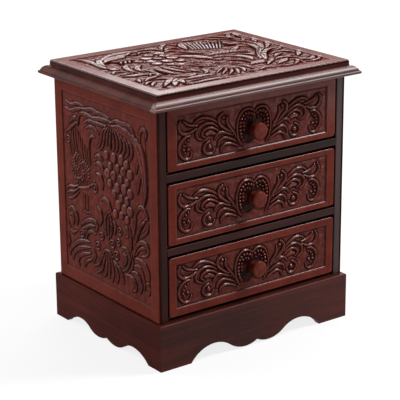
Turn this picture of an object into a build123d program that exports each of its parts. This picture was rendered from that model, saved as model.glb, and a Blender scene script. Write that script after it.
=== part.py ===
# A small table-top jewelry chest with three drawers. Millimetres, +Z up, front towards -Y.
import os

from build123d import *

os.makedirs("parts", exist_ok=True)

# Case
CASE_WIDTH = 226.0
CASE_DEPTH = 178.0
SIDE_THICKNESS = 8.0
HOUSING_DEPTH = 3.0
BACK_THICKNESS = 4.0
BACK_LAP = 5.0
BOTTOM_THICKNESS = 8.0

# Drawer openings, counted from the bottom board upwards
DRAWER_COUNT = 3
OPENING_HEIGHT = 65.6
RAIL_HEIGHT = 7.6
RAIL_DEPTH = 20.0
TENON_THICKNESS = 5.0
TENON_WIDTH = 12.0
RUNNER_WIDTH = 12.0
EDGE_ROUND = 1.0

# Skirt round the foot of the case
SKIRT_HEIGHT = 47.0
SKIRT_THICKNESS = 5.5
SKIRT_ROUND = 1.5
SILL_LIP = 1.0
FOOT_BLOCK_HEIGHT = 20.0
FOOT_BLOCK_WIDTH = 14.0
FRONT_FOOT = 36.5
FRONT_ARCH_HEIGHT = 14.2
FRONT_ARCH_REACH = 53.9
FRONT_LOBE_REACH = 14.5
SIDE_FOOT = 21.5
SIDE_ARCH_HEIGHT = 10.6
SIDE_ARCH_REACH = 46.8
SIDE_LOBE_REACH = 15.6
LOBE_LIFT = 0.8
NOTCH_HEIGHT = 4.5

# Top board: a round lip, a quirk, an ovolo and a fillet, from the underside upwards
TOP_THICKNESS = 12.0
TOP_OVERHANG = 13.0
LIP_HEIGHT = 3.4
QUIRK = 0.8
OVOLO_RISE = 6.4
OVOLO_LEAN = 0.64
MOULDING_WIDTH = 9.0
DOWEL_RADIUS = 2.0
DOWEL_DEPTH = 7.0
DOWEL_INSET = 34.0

# Tooled leather
LEATHER_THICKNESS = 2.4
FIELD_DEPTH = 1.2
LEATHER_ROUND = 1.0
BEVEL_ANGLE = 45.0
TOP_BORDER = 13.0
SIDE_BORDER = 13.0
DRAWER_BORDER_SIDE = 10.5
DRAWER_BORDER_EDGE = 7.5

# Drawers
SIDE_REVEAL = 1.3
EDGE_REVEAL = 2.3
FRONT_THICKNESS = 9.0
FRONT_LAP = 6.0
DRAWER_WALL = 6.0
WALL_HEIGHT = 52.0
DRAWER_BACK_INSET = 4.0
DRAWER_STOP_GAP = 0.5
PANEL_THICKNESS = 3.0
PANEL_GROOVE = 3.0
PANEL_LIFT = 5.0
LINING_THICKNESS = 1.2
LINING_GAP = 0.4

# Knobs and screws
KNOB_RADIUS = 8.5
KNOB_LENGTH = 11.5
KNOB_NECK = 6.2
KNOB_NECK_HEIGHT = 4.2
KNOB_HEAD_HEIGHT = 7.6
KNOB_RIM = 1.3
BOTTOM_KNOB_DROP = 0.8
MIDDLE_KNOB_DROP = 1.8
TOP_KNOB_DROP = 5.8
SCREW_RADIUS = 1.7
SCREW_HEAD = 3.4
SCREW_HEAD_HEIGHT = 2.2
SCREW_BITE = 7.0
SLOT_WIDTH = 0.8
SLOT_DEPTH = 0.9
PIN_WIDTH = 1.2
PIN_LENGTH = 13.0
PIN_ROWS = 4

# Planes that several pieces share
SIDE_OUT = CASE_WIDTH / 2
SIDE_IN = SIDE_OUT - SIDE_THICKNESS
FRONT_Y = -CASE_DEPTH / 2
BACK_Y = CASE_DEPTH / 2
PANEL_Y = BACK_Y - BACK_THICKNESS
BOTTOM_TOP = SKIRT_HEIGHT + SILL_LIP
BOTTOM_Z = BOTTOM_TOP - BOTTOM_THICKNESS
OPENING_PITCH = OPENING_HEIGHT + RAIL_HEIGHT
CASE_TOP = BOTTOM_TOP + DRAWER_COUNT * OPENING_PITCH - RAIL_HEIGHT
TOP_Z = CASE_TOP + TOP_THICKNESS
RAIL_BACK_Y = FRONT_Y + RAIL_DEPTH
LEATHER_BACK_Y = FRONT_Y + LEATHER_THICKNESS
FRONT_BACK_Y = LEATHER_BACK_Y + FRONT_THICKNESS
DRAWER_END_Y = PANEL_Y - DRAWER_STOP_GAP
DRAWER_HALF = SIDE_IN - SIDE_REVEAL
WALL_IN = DRAWER_HALF - DRAWER_WALL
DRAWER_BACK_OUT = DRAWER_END_Y - DRAWER_BACK_INSET
DRAWER_BACK_IN = DRAWER_BACK_OUT - DRAWER_WALL
KNOB_DROPS = (BOTTOM_KNOB_DROP, MIDDLE_KNOB_DROP, TOP_KNOB_DROP)


def block(x, y, z):
    """A board between two x, two y and two z values."""
    centre = (sum(x) / 2, sum(y) / 2, sum(z) / 2)
    return Pos(*centre) * Box(x[1] - x[0], y[1] - y[0], z[1] - z[0])


def mirrored(shape):
    """The same piece for the other side of the chest."""
    return mirror(shape, about=Plane.YZ)


def save(shape, node):
    export_step(shape, "parts/" + node + ".step")


def rail_z(level):
    """Underside of the rail below the drawer at this level, counted from 0 at the bottom."""
    return BOTTOM_TOP + level * OPENING_PITCH - RAIL_HEIGHT


def drawer_z(level):
    """Height that the drawer at this level runs on."""
    return BOTTOM_TOP + level * OPENING_PITCH


def rail_tenon(level, side):
    y = (FRONT_Y + (RAIL_DEPTH - TENON_WIDTH) / 2, FRONT_Y + (RAIL_DEPTH + TENON_WIDTH) / 2)
    middle = rail_z(level) + RAIL_HEIGHT / 2
    z = (middle - TENON_THICKNESS / 2, middle + TENON_THICKNESS / 2)
    x = sorted((side * SIDE_IN, side * (SIDE_IN + HOUSING_DEPTH)))
    return block(x, y, z)


def rail(level):
    body = block((-SIDE_IN, SIDE_IN), (FRONT_Y, RAIL_BACK_Y), (rail_z(level), drawer_z(level)))
    body = fillet(body.faces().sort_by(Axis.Y)[0].edges().filter_by(Axis.X), EDGE_ROUND)
    return body + rail_tenon(level, -1) + rail_tenon(level, 1)


def runner(level):
    """Right-hand strip that carries the drawer above it and keeps the one below from tipping."""
    x = (SIDE_IN - RUNNER_WIDTH, SIDE_IN)
    return block(x, (RAIL_BACK_Y, PANEL_Y), (rail_z(level), drawer_z(level)))


def back_pins():
    """Square headless pins along both edges of the back panel."""
    pin = Box(PIN_WIDTH, PIN_LENGTH, PIN_WIDTH)
    x = SIDE_IN + BACK_LAP / 2
    step = (CASE_TOP - BOTTOM_Z) / PIN_ROWS
    heights = [BOTTOM_Z + step * (row + 0.5) for row in range(PIN_ROWS)]
    return [Pos(side * x, BACK_Y - PIN_LENGTH / 2, z) * pin for side in (-1, 1) for z in heights]


def top_dowels():
    """Four dowels that tie the top board to the side boards."""
    x = SIDE_OUT - SIDE_THICKNESS / 2
    y = BACK_Y - DOWEL_INSET
    dowel = Cylinder(DOWEL_RADIUS, 2 * DOWEL_DEPTH)
    return [Pos(sx * x, sy * y, CASE_TOP) * dowel for sx in (-1, 1) for sy in (-1, 1)]


def side_board():
    """Right-hand side board with its housings, mortises, rabbet and holes."""
    board = block((SIDE_IN, SIDE_OUT), (FRONT_Y, BACK_Y), (FOOT_BLOCK_HEIGHT, CASE_TOP))
    board = fillet(board.faces().sort_by(Axis.Y)[0].edges().filter_by(Axis.Z), EDGE_ROUND)
    board -= block((SIDE_IN, SIDE_IN + BACK_LAP), (PANEL_Y, BACK_Y), (BOTTOM_Z, CASE_TOP))
    board -= block((SIDE_IN, SIDE_IN + HOUSING_DEPTH), (FRONT_Y, PANEL_Y), (BOTTOM_Z, BOTTOM_TOP))
    for level in range(1, DRAWER_COUNT):
        board -= rail_tenon(level, 1)
    for fastener in back_pins() + top_dowels():
        board -= fastener
    return board


def bottom_board():
    half = SIDE_IN + HOUSING_DEPTH
    return block((-half, half), (FRONT_Y, PANEL_Y), (BOTTOM_Z, BOTTOM_TOP))


def back_panel():
    half = SIDE_IN + BACK_LAP
    panel = block((-half, half), (PANEL_Y, BACK_Y), (BOTTOM_Z, CASE_TOP))
    for pin in back_pins():
        panel -= pin
    return panel


def edge_section(half):
    """Section through the top board: the moulded edge, then the flat to the middle."""
    nose = half - LIP_HEIGHT / 2
    shoulder = half - QUIRK - LIP_HEIGHT / 4
    flat = half - MOULDING_WIDTH
    ovolo_foot = (shoulder, LIP_HEIGHT)
    ovolo_head = (flat, LIP_HEIGHT + OVOLO_RISE)
    lip = JernArc(start=(nose, 0), tangent=(1, 0), radius=LIP_HEIGHT / 2, arc_size=180)
    quirk = Line(lip @ 1, ovolo_foot)
    ovolo = TangentArc(ovolo_foot, ovolo_head, tangent=(-OVOLO_LEAN, 1))
    rest = Polyline(ovolo_head, (flat, TOP_THICKNESS), (0, TOP_THICKNESS), (0, 0), (nose, 0))
    return make_face([lip, quirk, ovolo, rest])


def top_board():
    """The edge section run along both ways; where the two runs meet they mitre the corners."""
    half_x = SIDE_OUT + TOP_OVERHANG
    half_y = BACK_Y + TOP_OVERHANG
    along_y = extrude(Plane.XZ * edge_section(half_x), half_y, both=True)
    along_x = extrude(Plane.YZ * edge_section(half_y), half_x, both=True)
    board = (along_y + mirror(along_y, about=Plane.YZ)) & (along_x + mirror(along_x, about=Plane.XZ))
    board = Pos(0, 0, CASE_TOP) * board
    for dowel in top_dowels():
        board -= dowel
    return board


def leather(width, height, border_x, border_y):
    """A sheet with rounded edges and a bevelled, sunken field, lying face up with its back at z = 0."""
    sheet = Pos(0, 0, LEATHER_THICKNESS / 2) * Box(width, height, LEATHER_THICKNESS)
    sheet = fillet(sheet.faces().sort_by(Axis.Z)[-1].edges(), LEATHER_ROUND)
    field = Pos(0, 0, LEATHER_THICKNESS) * Rectangle(width - 2 * border_x, height - 2 * border_y)
    return sheet - extrude(field, -FIELD_DEPTH, taper=BEVEL_ANGLE)


def top_leather():
    width = 2 * (SIDE_OUT + TOP_OVERHANG - MOULDING_WIDTH)
    depth = 2 * (BACK_Y + TOP_OVERHANG - MOULDING_WIDTH)
    return Pos(0, 0, TOP_Z) * leather(width, depth, TOP_BORDER, TOP_BORDER)


def side_leather():
    """Right-hand side leather, from the skirt up to the top board."""
    sheet = leather(CASE_DEPTH, CASE_TOP - SKIRT_HEIGHT, SIDE_BORDER, SIDE_BORDER)
    return Plane.YZ.offset(SIDE_OUT) * Pos(0, (CASE_TOP + SKIRT_HEIGHT) / 2) * sheet


def scallop(half, foot, arch, reach, lobe):
    """Half of a skirt board's outline: foot, arch, pendant lobe and the notch at the middle."""
    top = (reach, arch)
    low = (lobe, LOBE_LIFT)
    turn = ((top[0] + low[0]) / 2, (top[1] + low[1]) / 2)
    outer = TangentArc(top, (half - foot, 0), tangent=(1, 0))
    inner = TangentArc(top, turn, tangent=(-1, 0))
    swell = TangentArc(low, turn, tangent=(1, 0))
    notch = TangentArc(low, (0, NOTCH_HEIGHT), tangent=(-1, 0))
    rest = Polyline((half - foot, 0), (half, 0), (half, SKIRT_HEIGHT), (0, SKIRT_HEIGHT), (0, NOTCH_HEIGHT))
    return make_face([outer, inner, swell, notch, rest])


def skirt_board(half, inside, outline):
    """A skirt board facing -Y, with mitred ends, a rounded top edge and its back at y = -inside."""
    outside = inside + SKIRT_THICKNESS
    board = extrude(Plane.XZ * outline, outside)
    board += mirror(board, about=Plane.YZ)
    corners = [(-half, -outside), (half, -outside), (half - SKIRT_THICKNESS, -inside)]
    corners += [(SKIRT_THICKNESS - half, -inside)]
    board &= extrude(make_face(Polyline(*corners, close=True)), SKIRT_HEIGHT)
    top_edges = board.faces().sort_by(Axis.Z)[-1].edges()
    return fillet(top_edges.sort_by(Axis.Y)[0], SKIRT_ROUND)


def front_skirt():
    half = SIDE_OUT + SKIRT_THICKNESS
    outline = scallop(half, FRONT_FOOT, FRONT_ARCH_HEIGHT, FRONT_ARCH_REACH, FRONT_LOBE_REACH)
    return skirt_board(half, BACK_Y, outline)


def side_skirt():
    half = BACK_Y + SKIRT_THICKNESS
    outline = scallop(half, SIDE_FOOT, SIDE_ARCH_HEIGHT, SIDE_ARCH_REACH, SIDE_LOBE_REACH)
    return Rot(0, 0, 90) * skirt_board(half, SIDE_OUT, outline)


def foot_blocks():
    """Square blocks in the skirt's corners, under the side boards."""
    x = (SIDE_OUT - FOOT_BLOCK_WIDTH, SIDE_OUT)
    y = (BACK_Y - FOOT_BLOCK_WIDTH, BACK_Y)
    post = block(x, y, (0, FOOT_BLOCK_HEIGHT))
    pair = [post, mirrored(post)]
    return pair + [mirror(one, about=Plane.XZ) for one in pair]


def drawer_middle(level):
    return drawer_z(level) + OPENING_HEIGHT / 2


def knob_centre(level):
    """Height of a knob, which sits a little below the middle of its drawer front."""
    return drawer_middle(level) - KNOB_DROPS[level]


def drawer_face(level):
    """Plane of the sunken field on a drawer's leather, facing the front, at the knob."""
    origin = (0, FRONT_Y + FIELD_DEPTH, knob_centre(level))
    return Plane(origin=origin, x_dir=(1, 0, 0), z_dir=(0, -1, 0))


def knob_screw(level):
    """A slotted countersunk screw, put in from inside the drawer."""
    head_z = FRONT_BACK_Y - FRONT_Y - FIELD_DEPTH
    outline = Polyline(
        (0, -head_z),
        (SCREW_HEAD, -head_z),
        (SCREW_RADIUS, SCREW_HEAD_HEIGHT - head_z),
        (SCREW_RADIUS, SCREW_BITE),
        (0, SCREW_BITE),
        close=True,
    )
    return drawer_face(level) * revolve(Plane.XZ * make_face(outline), Axis.Z)


def slotted(screw, level):
    slot = block((-SCREW_HEAD, SCREW_HEAD), (FRONT_BACK_Y - SLOT_DEPTH, FRONT_BACK_Y), (0, SLOT_WIDTH))
    return screw - Pos(0, 0, knob_centre(level) - SLOT_WIDTH / 2) * slot


def knob(level):
    """A turned knob: neck, flare, and a head with a flat face and an eased rim."""
    outline = Polyline(
        (KNOB_NECK, 0),
        (KNOB_NECK, KNOB_NECK_HEIGHT),
        (KNOB_RADIUS, KNOB_HEAD_HEIGHT),
        (KNOB_RADIUS, KNOB_LENGTH - KNOB_RIM),
        (KNOB_RADIUS - KNOB_RIM, KNOB_LENGTH),
        (0, KNOB_LENGTH),
        (0, 0),
        close=True,
    )
    return drawer_face(level) * revolve(Plane.XZ * make_face(outline), Axis.Z) - knob_screw(level)


def drawer_front(level):
    z = drawer_z(level)
    front = block(
        (-DRAWER_HALF, DRAWER_HALF),
        (LEATHER_BACK_Y, FRONT_BACK_Y),
        (z + EDGE_REVEAL, z + OPENING_HEIGHT - EDGE_REVEAL),
    )
    wall = drawer_wall(level)
    return front - wall - mirrored(wall) - drawer_bottom(level) - knob_screw(level)


def drawer_wall(level):
    """Right-hand drawer side, lapped into the front, housed for the back and grooved for the bottom."""
    z = drawer_z(level)
    wall = block((WALL_IN, DRAWER_HALF), (FRONT_BACK_Y - FRONT_LAP, DRAWER_END_Y), (z, z + WALL_HEIGHT))
    return wall - drawer_bottom(level) - drawer_back(level)


def drawer_back(level):
    z = drawer_z(level)
    half = WALL_IN + DRAWER_WALL / 2
    panel_top = z + PANEL_LIFT + PANEL_THICKNESS
    return block((-half, half), (DRAWER_BACK_IN, DRAWER_BACK_OUT), (panel_top, z + WALL_HEIGHT))


def drawer_bottom(level):
    z = drawer_z(level) + PANEL_LIFT
    half = WALL_IN + PANEL_GROOVE
    return block((-half, half), (FRONT_BACK_Y - PANEL_GROOVE, DRAWER_BACK_OUT), (z, z + PANEL_THICKNESS))


def drawer_lining(level):
    z = drawer_z(level) + PANEL_LIFT + PANEL_THICKNESS
    half = WALL_IN - LINING_GAP
    y = (FRONT_BACK_Y + LINING_GAP, DRAWER_BACK_IN - LINING_GAP)
    return block((-half, half), y, (z, z + LINING_THICKNESS))


def drawer_leather(level):
    width = 2 * DRAWER_HALF
    height = OPENING_HEIGHT - 2 * EDGE_REVEAL
    sheet = leather(width, height, DRAWER_BORDER_SIDE, DRAWER_BORDER_EDGE)
    face = Plane(origin=(0, LEATHER_BACK_Y, drawer_middle(level)), x_dir=(1, 0, 0), z_dir=(0, -1, 0))
    return face * sheet - knob_screw(level)


save(side_board(), "right_side_board")
save(mirrored(side_board()), "left_side_board")
save(bottom_board(), "bottom_board")
save(back_panel(), "back_panel")
save(Compound(children=back_pins()), "back_panel_pins")
for level, place in enumerate(("lower", "upper"), start=1):
    save(rail(level), place + "_rail")
    save(runner(level), place + "_right_runner")
    save(mirrored(runner(level)), place + "_left_runner")
save(top_board(), "top_board")
save(Compound(children=top_dowels()), "top_dowels")
save(top_leather(), "top_leather")
save(side_leather(), "right_leather")
save(mirrored(side_leather()), "left_leather")
save(front_skirt(), "front_skirt")
save(mirror(front_skirt(), about=Plane.XZ), "back_skirt")
save(side_skirt(), "right_skirt")
save(mirrored(side_skirt()), "left_skirt")
save(Compound(children=foot_blocks()), "foot_blocks")

for level, place in enumerate(("bottom", "middle", "top")):
    name = place + "_drawer_"
    save(drawer_front(level), name + "front")
    save(drawer_leather(level), name + "leather")
    save(drawer_wall(level), name + "right_side")
    save(mirrored(drawer_wall(level)), name + "left_side")
    save(drawer_back(level), name + "back")
    save(drawer_bottom(level), name + "bottom")
    save(drawer_lining(level), name + "lining")
    save(knob(level), name + "knob")
    save(slotted(knob_screw(level), level), name + "knob_screw")
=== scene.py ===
import math

import bmesh
import bpy
import numpy as np
from mathutils import Matrix, Vector


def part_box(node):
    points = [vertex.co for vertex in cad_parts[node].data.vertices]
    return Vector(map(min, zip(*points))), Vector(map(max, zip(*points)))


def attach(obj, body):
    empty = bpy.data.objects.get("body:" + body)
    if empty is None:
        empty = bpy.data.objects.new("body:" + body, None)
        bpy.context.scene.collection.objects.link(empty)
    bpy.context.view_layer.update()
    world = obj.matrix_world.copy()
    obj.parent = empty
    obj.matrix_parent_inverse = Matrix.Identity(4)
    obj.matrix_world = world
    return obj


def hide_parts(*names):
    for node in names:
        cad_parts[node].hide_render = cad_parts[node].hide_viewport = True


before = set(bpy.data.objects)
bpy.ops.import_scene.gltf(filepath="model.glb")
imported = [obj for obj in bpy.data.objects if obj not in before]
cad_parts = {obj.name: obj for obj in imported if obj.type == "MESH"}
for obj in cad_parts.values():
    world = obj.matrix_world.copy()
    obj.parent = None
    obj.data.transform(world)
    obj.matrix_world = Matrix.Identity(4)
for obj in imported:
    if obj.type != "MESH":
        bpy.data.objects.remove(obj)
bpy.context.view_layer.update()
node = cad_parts


# Case boards: the two side boards, the bottom board and the rails between the drawers.
# Solid wood stained nearly black-brown, then lacquered; the grain runs up the sides and along the rails.
# The rails are stub-tenoned into the sides, and only the front edges show.
class Wire:
    """One output in a material's node tree. Arithmetic on it adds Math nodes to that tree."""

    def __init__(self, tree, out=None):
        self.tree = tree
        self.out = out

    def node(self, kind, settings, sockets, out=0):
        made = self.tree.nodes.new("ShaderNode" + kind)
        for key, value in settings.items():
            if key == "stops":
                ramp = made.color_ramp.elements
                while len(ramp) < len(value):
                    ramp.new(0.5)
                for stop, (place, colour) in zip(ramp, value):
                    stop.position = place
                    stop.color = (*colour, 1.0)
            else:
                setattr(made, key, value)
        for key, value in sockets.items():
            if isinstance(value, Wire):
                self.tree.links.new(value.out, made.inputs[key])
            else:
                made.inputs[key].default_value = value
        return Wire(self.tree, made.outputs[out] if made.outputs else None)

    def math(self, operation, first, second):
        return self.node("Math", {"operation": operation}, {0: first, 1: second})

    def __add__(self, other):
        return self.math("ADD", self, other)

    def __sub__(self, other):
        return self.math("SUBTRACT", self, other)

    def __rsub__(self, other):
        return self.math("SUBTRACT", other, self)

    def __mul__(self, other):
        return self.math("MULTIPLY", self, other)

    __radd__ = __add__
    __rmul__ = __mul__


def new_finish(name):
    material = bpy.data.materials.new(name)
    material.use_nodes = True
    material.node_tree.nodes.clear()
    return material, Wire(material.node_tree)


def close_finish(start, sockets):
    surface = start.node("BsdfPrincipled", {}, sockets)
    start.node("OutputMaterial", {}, {"Surface": surface})


def grained_wood(name, along, stain, rough, gloss=0.16, pores=0.0003, moulding=None):
    """Planed wood with fibres, streaks and pores drawn out along one axis, under a thin lacquer.

    A moulding is given by the levels over its lip and over its ovolo, and by where its front ends.
    It is rubbed up with wax between those levels and along the front, and is darker over the ovolo, where the
    step under the leather's edge is painted into shade over a little dark stain."""
    material, start = new_finish(name)
    place = start.node("TexCoord", {}, {}, "Object")
    fine = [520.0, 520.0, 520.0]
    fine[along] = 22.0
    broad = [60.0, 60.0, 60.0]
    broad[along] = 5.0
    fibre = start.node("TexNoise", {}, {
        "Vector": start.node("Mapping", {}, {"Vector": place, "Scale": fine}),
        "Scale": 1.0, "Detail": 5.0, "Roughness": 0.62})
    streak = start.node("TexNoise", {}, {
        "Vector": start.node("Mapping", {}, {"Vector": place, "Scale": broad}),
        "Scale": 1.0, "Detail": 4.0, "Roughness": 0.6, "Distortion": 0.6})
    cloud = start.node("TexNoise", {}, {"Vector": place, "Scale": 14.0, "Detail": 2.0})
    figure = fibre * 0.35 + streak * 0.4 + cloud * 0.25
    wax = 0.0
    if moulding:
        depth, level = (start.node("SeparateXYZ", {}, {"Vector": place}, way) for way in "YZ")
        over_lip, over_ovolo = (start.math("GREATER_THAN", level, limit) for limit in moulding[:2])
        front = start.math("LESS_THAN", depth, moulding[2])
        # Darker over the ovolo: painted shade in the step under the leather's edge, partly dark stain.
        figure = figure - over_ovolo * 0.12
        wax = (over_lip - over_ovolo) * (front * 0.1 + 0.06) + front * 0.8
    dark, light = stain
    colour = start.node("ValToRGB", {"stops": [(0.38, dark), (0.62, light)]}, {"Fac": figure})
    relief = start.node("Bump", {}, {"Strength": 0.35, "Distance": pores, "Height": fibre + streak * 0.4})
    close_finish(start, {
        "Base Color": colour,
        "Roughness": rough + fibre * 0.12 + cloud * 0.12,
        "Specular IOR Level": gloss,
        "Coat Weight": wax,
        "Coat Roughness": 0.38,
        "Normal": relief})
    return material


def dress(material, *names):
    for name in names:
        node[name].data.materials.clear()
        node[name].data.materials.append(material)


UPRIGHT, ACROSS, FRONT_TO_BACK = 2, 0, 1
CASE_STAIN = ((0.009, 0.0017, 0.0011), (0.046, 0.0082, 0.0058))
dress(grained_wood("stained_left", UPRIGHT, CASE_STAIN, rough=0.34, gloss=0.11), "left_side_board")
dress(grained_wood("stained_right", UPRIGHT, CASE_STAIN, rough=0.34, gloss=0.34), "right_side_board")
dress(grained_wood("stained_rail", ACROSS, CASE_STAIN, rough=0.34, gloss=0.12),
      "upper_rail", "lower_rail", "bottom_board")


# Inner woodwork: the runners glued to the side boards, the foot blocks in the corners of the skirt
# and the dowels that tie the top to the side boards. All are planed softwood with a thin varnish.
SOFTWOOD = ((0.17, 0.085, 0.042), (0.34, 0.20, 0.11))
plain_deep = grained_wood("plain_front_to_back", FRONT_TO_BACK, SOFTWOOD, rough=0.5)
plain_across = grained_wood("plain_across", ACROSS, SOFTWOOD, rough=0.5)
plain_upright = grained_wood("plain_upright", UPRIGHT, SOFTWOOD, rough=0.5)
dress(plain_deep, "upper_left_runner", "upper_right_runner", "lower_left_runner", "lower_right_runner")
dress(plain_upright, "foot_blocks", "top_dowels")


# Back panel: a thin stained board let into rabbets in the side boards.
# Its steel pins are driven in along both edges and left flush.
BACK_STAIN = ((0.014, 0.004, 0.003), (0.045, 0.014, 0.010))
dress(grained_wood("stained_back", UPRIGHT, BACK_STAIN, rough=0.46, pores=0.0004), "back_panel")


def drawn_steel(name):
    """Bright steel with fine drawing marks and a little tarnish."""
    material, start = new_finish(name)
    place = start.node("TexCoord", {}, {}, "Object")
    marks = start.node("TexNoise", {}, {"Vector": place, "Scale": 2600.0, "Detail": 3.0})
    tarnish = start.node("TexNoise", {}, {"Vector": place, "Scale": 260.0, "Detail": 2.0})
    colour = start.node("ValToRGB", {
        "stops": [(0.35, (0.30, 0.27, 0.24)), (0.6, (0.56, 0.55, 0.53))]}, {"Fac": tarnish})
    close_finish(start, {"Base Color": colour, "Metallic": 1.0, "Roughness": 0.28 + marks * 0.22})
    return material


steel = drawn_steel("drawn_steel")
dress(steel, "back_panel_pins")


# Skirt: four boards with a scalloped lower edge, mitred at the corners and glued round the foot of the case.
# Red-brown stain, a little lighter than the rails, with the grain running along each board.
SKIRT_STAIN = ((0.023, 0.0032, 0.0020), (0.080, 0.0132, 0.0085))
dress(grained_wood("skirt_across", ACROSS, SKIRT_STAIN, rough=0.30, gloss=0.14), "front_skirt", "back_skirt")
dress(grained_wood("skirt_deep", FRONT_TO_BACK, SKIRT_STAIN, rough=0.36, gloss=0.03),
      "left_skirt", "right_skirt")


# Top board: one wide board with a moulded edge all round, dowelled to the side boards.
# Its stain is lighter and redder than the case's, and wax is rubbed up on the lip, the ovolo and the front.
TOP_STAIN = ((0.038, 0.0064, 0.0046), (0.115, 0.0235, 0.0170))
LIP_HIGH, OVOLO_HIGH, FRONT_DEEP = 0.0033, 0.0095, 0.0085
front_face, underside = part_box("top_board")[0][1:]
moulding = (underside + LIP_HIGH, underside + OVOLO_HIGH, front_face + FRONT_DEEP)
dress(grained_wood("moulded_top", ACROSS, TOP_STAIN, rough=0.24, gloss=0.04, pores=0.0002, moulding=moulding),
      "top_board")


# Leather sheets of the top and the sides: thick leather, cased wet and tooled into vines, grapes and a bird.
# It is dyed red-brown, a dark antique stain is rubbed into the hollows and wiped off the high work,
# and the finished sheets are waxed and glued down on the boards. Their colour also carries painted shade
# on the lee side of the relief and a painted highlight on its crests.
SHEET_THICK, EDGE_ROUND, CORNER_CUT, CORNER_LEFT = 2.4, 1.0, 0.8, 0.1
BEVEL_RUN, FLOOR_FADE, WALL_WIDE = 1.05, 2.0, 1.6
PER_METRE = 1000


class Tooling:
    """One sheet on the bench: its surface in millimetres and the stain rubbed into it, on a fine grid.

    A border at the sides, the foot and the head stays smooth, and the field inside it is sunk and tooled.
    Flat work is pressed to low crowns. The cloth rubs up wax on slopes, across and up, and on edges."""

    def __init__(self, size, border, corner, sunk, relief, flat, antique, wax, rub, step):
        width, height = size
        self.across = np.linspace(-width / 2, width / 2, round(width / step) + 1)
        self.up = np.linspace(-height / 2, height / 2, round(height / step) + 1)
        self.u, self.v = np.meshgrid(self.across, self.up, indexing="ij")
        self.step, self.relief, self.flat = step, relief, flat
        self.antique, self.wax, self.rub = antique, wax, rub
        bend = [np.maximum(abs(way) - span / 2 + corner, 0)
                for way, span in ((self.u, width), (self.v, height))]
        edge = corner - np.hypot(*bend)
        sides, foot, head = border
        between = np.minimum(height / 2 - foot + self.v, height / 2 - head - self.v)
        inside = np.minimum(width / 2 - sides - abs(self.u), between)
        run = BEVEL_RUN * sunk
        self.field = np.clip(inside / run, 0, 1)
        self.floor = np.clip((inside - run) / FLOOR_FADE, 0, 1)
        self.turned = np.clip(1 - edge / EDGE_ROUND, 0, 1)
        self.trimmed = np.clip(-edge / CORNER_CUT, 0, 1)
        fall = EDGE_ROUND * (1 - np.sqrt(1 - self.turned * self.turned))
        self.ground = SHEET_THICK - sunk * self.field - fall
        self.ground -= (SHEET_THICK - EDGE_ROUND - CORNER_LEFT) * self.trimmed
        self.surface = self.ground.copy()
        self.rubbed = 0.6 * np.exp(-((inside - run - 0.2) / 0.6) ** 2)
        self.bevel = np.clip(1.2 - abs(inside / run - 0.5), 0, 1)

    def uneven(self, size, seed):
        """Slow patches between 0 and 1 over the sheet, from the uneven pressure of the hand."""
        waves = 0
        for k in range(9):
            turn = seed + 2.4 * k
            pitch = 2 * np.pi / (size * (0.75 + 0.08 * k))
            along = self.u * math.cos(turn) + self.v * math.sin(turn)
            waves = waves + np.sin(pitch * along + 4.3 * k * seed)
        return np.clip(0.5 + waves / 9, 0, 1)

    def path(self, points):
        """A smooth run of close points through a few given ones, each with its half width."""
        p = np.array(points, float)
        if len(p) < 3:
            return p if len(p) == 1 else p[0] + (p[1] - p[0]) * np.linspace(0, 1, 24)[:, None]
        ends = np.vstack([2 * p[0] - p[1], p, 2 * p[-1] - p[-2]])
        t = np.linspace(0, 1, 14, endpoint=False)[:, None]
        runs = []
        for a, b, c, d in zip(ends, ends[1:], ends[2:], ends[3:]):
            runs.append(b + 0.5 * t * (c - a + t * (2 * a - 5 * b + 4 * c - d + t * (3 * (b - c) + d - a))))
        return np.vstack(runs + [p[-1:]])

    def near(self, path, margin):
        """The patch of grid round a path: how far past its outline and from its middle each point lies."""
        reach = path[:, 2].max() + margin
        i0, i1 = np.searchsorted(self.across, [path[:, 0].min() - reach, path[:, 0].max() + reach])
        j0, j1 = np.searchsorted(self.up, [path[:, 1].min() - reach, path[:, 1].max() + reach])
        patch = np.s_[i0:i1, j0:j1]
        away = np.hypot(self.u[patch][..., None] - path[:, 0], self.v[patch][..., None] - path[:, 1])
        past = away - path[:, 2]
        k = past.argmin(-1)
        past = np.take_along_axis(past, k[..., None], -1)[..., 0]
        away = np.take_along_axis(away, k[..., None], -1)[..., 0]
        return patch, past, away, path[k, 2]

    def stroke(self, points, lift=1.8, vein=0.7, cut=1.0):
        """A raised leaf, band or berry along (across, up, half width) points, with a cut round its edge."""
        patch, past, away, wide = self.near(self.path(points), 3.0)
        before, ground = self.surface[patch], self.ground[patch]
        wall = np.clip(-past / (np.minimum(wide, WALL_WIDE) * (1 - 0.4 * self.flat)), 0, 1)
        body = 0.5 * wall + 0.5 * np.sin(wall * np.pi / 2)
        crown = np.clip(1 - (away / np.maximum(wide, 0.01)) ** 2, 0, 1)
        rise = self.relief * lift * np.clip(wide / WALL_WIDE, 0, 1) ** 0.8
        swell = 0.72 * body + 0.28 * crown * (1 - self.flat)
        top = ground + 0.35 * np.maximum(before - ground, 0) + rise * swell
        groove = np.exp(-(away / 0.55) ** 2) * np.clip(wide - 1.1, 0, 1)
        top -= vein * self.relief * groove
        mask = np.clip(0.5 - past / 0.6, 0, 1)
        crease = cut * np.exp(-(np.maximum(past - 0.1, 0) / 0.8) ** 2)
        self.surface[patch] = (before - 0.6 * self.relief * crease) * (1 - mask) + top * mask
        kept = 0.4 * (1 - wall) ** 2 + vein * groove
        self.rubbed[patch] = np.maximum(self.rubbed[patch], crease) * (1 - mask) + kept * mask

    def sink(self, points, depth, stain):
        """A hollow beaten down into the ground and left dark."""
        patch, past, _, _ = self.near(self.path(points), 3.0)
        low = np.clip(0.5 - past / 2.5, 0, 1)
        self.surface[patch] -= depth * low
        self.rubbed[patch] = np.maximum(self.rubbed[patch], stain * low)

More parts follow.
